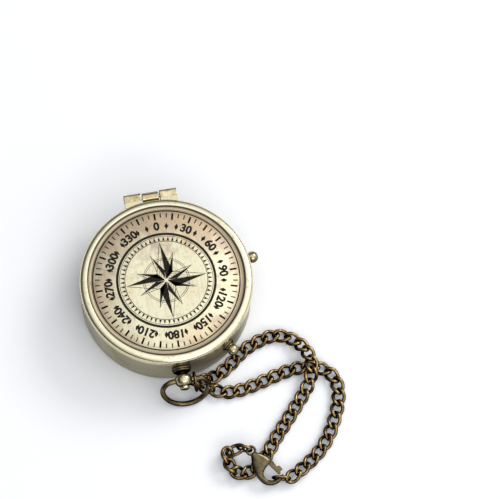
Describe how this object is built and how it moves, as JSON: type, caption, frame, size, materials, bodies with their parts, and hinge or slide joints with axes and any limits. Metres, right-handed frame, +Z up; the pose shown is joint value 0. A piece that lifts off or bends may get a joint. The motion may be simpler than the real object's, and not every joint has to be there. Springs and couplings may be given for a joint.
{
  "type": "pocket compass",
  "caption": "Lidded brass pocket compass: round case with hinged lid, magnetic needle over a dial under glass, pendant with bow, side knobs and a curb chain with a lobster clasp.",
  "frame": {"origin": "centre of the case's flat underside, where it lies on a table", "axes": "+Z up through the dial, the lid hinge at +Y, the pendant and bow at -Y; the chain lies towards +X and -Y"},
  "size_m": [0.1068, 0.1349, 0.0254],
  "materials": {
    "case_brass": "satin, olive-grey lacquered brass",
    "bright_brass": "polished pale brass",
    "old_brass": "dull brass",
    "patina_plate": "mottled golden and grey patina",
    "bronze": "antique bronze plate with bright worn edges",
    "clasp_bronze": "satin antique bronze",
    "steel": "plain steel",
    "blued_steel": "blued steel",
    "dial_white": "matt cream enamel",
    "gasket": "soft black",
    "glass": "clear flat glass",
    "jewel": "polished red jewel"
  },
  "bodies": {
    "case": {"case_bowl": "case_brass", "case_hinge_knuckle": "case_brass", "hinge_pin": "steel", "hinge_screws": "steel", "seat_ring": "old_brass", "dial_card": "dial_white", "chapter_ring": "case_brass", "pivot_post": "steel", "glass_gasket": "gasket", "glass_crystal": "glass", "bezel_ring": "case_brass", "pendant_collar": "old_brass", "lock_bush": "old_brass", "anchor_stud": "bright_brass", "detent_spring": "steel", "latch_post": "steel"},
    "lid": {"lid_rim": "bright_brass", "lid_plate": "patina_plate", "lid_liner": "case_brass", "lid_hinge_lugs": "bright_brass", "lid_strike": "steel"},
    "latch": {"latch_leaf": "steel"},
    "crown": {"crown_knob": "bright_brass", "crown_clip": "steel"},
    "bow": {"bow": "bronze"},
    "lock": {"lock_slide": "steel", "lock_knob": "bright_brass"},
    "lifter": {"needle_lifter": "case_brass"},
    "needle": {"needle_blade": "blued_steel", "needle_hub": "case_brass", "needle_jewel": "jewel"},
    "chain": {"bow_ring": "bronze", "bow_connectors": "bronze", "chain_front_run": "bronze", "chain_right_bend": "bronze", "chain_clasp_run": "bronze", "chain_back_run": "bronze", "chain_crossing": "bronze", "chain_inner_run": "bronze", "chain_tail": "bronze", "hook_link": "bronze", "jump_ring": "bronze", "clasp_connector": "bronze", "clasp_body": "clasp_bronze", "clasp_pin": "steel", "clasp_spring": "steel"},
    "lever": {"clasp_lever": "clasp_bronze"}
  },
  "joints": [
    {"name": "lid_hinge", "type": "hinge", "parent": "case", "child": "lid", "pos_m": [0, 0.0398, 0.0221], "axis": [-1, 0, 0], "range_deg": [0, 115]},
    {"name": "crown_push", "type": "slide", "parent": "case", "child": "crown", "axis": [0, 1, 0], "range_m": [0, 0.001], "stiffness_N_per_m": 2500, "springref_m": -0.0004},
    {"name": "latch_swing", "type": "hinge", "parent": "case", "child": "latch", "pos_m": [-0.03001, -0.01733, 0.0135], "axis": [0, 0, 1], "range_deg": [0, 2]},
    {"name": "bow_swing", "type": "hinge", "parent": "crown", "child": "bow", "pos_m": [0, -0.0425, 0.014], "axis": [-1, 0, 0], "range_deg": [0, 150]},
    {"name": "chain_swing", "type": "hinge", "parent": "crown", "child": "chain", "pos_m": [0.0049, -0.0435, 0.0084], "axis": [0, 0, -1], "range_deg": [0, 6]},
    {"name": "clasp_lever_swing", "type": "hinge", "parent": "chain", "child": "lever", "pos_m": [0.02949, -0.0811, 0.00508], "axis": [-0.0841, 0.1713, -0.9816], "range_deg": [0, 12], "stiffness_Nm_per_rad": 0.02, "springref_deg": -5.73},
    {"name": "lock_pull", "type": "slide", "parent": "case", "child": "lock", "axis": [0.5835, -0.8121, 0], "range_m": [0, 0.003]},
    {"name": "needle_lift", "type": "slide", "parent": "case", "child": "lifter", "axis": [0, 0, 1], "range_m": [0, 0.0006]},
    {"name": "needle_spin", "type": "hinge", "parent": "case", "child": "needle", "pos_m": [0, 0, 0.0187], "axis": [0, 0, 1], "continuous": true}
  ],
  "couplings": [
    {"joint": "latch_swing", "follows": "crown_push", "rad_per_m": 33.3},
    {"joint": "needle_lift", "follows": "lock_pull", "ratio": 0.2}
  ]
}
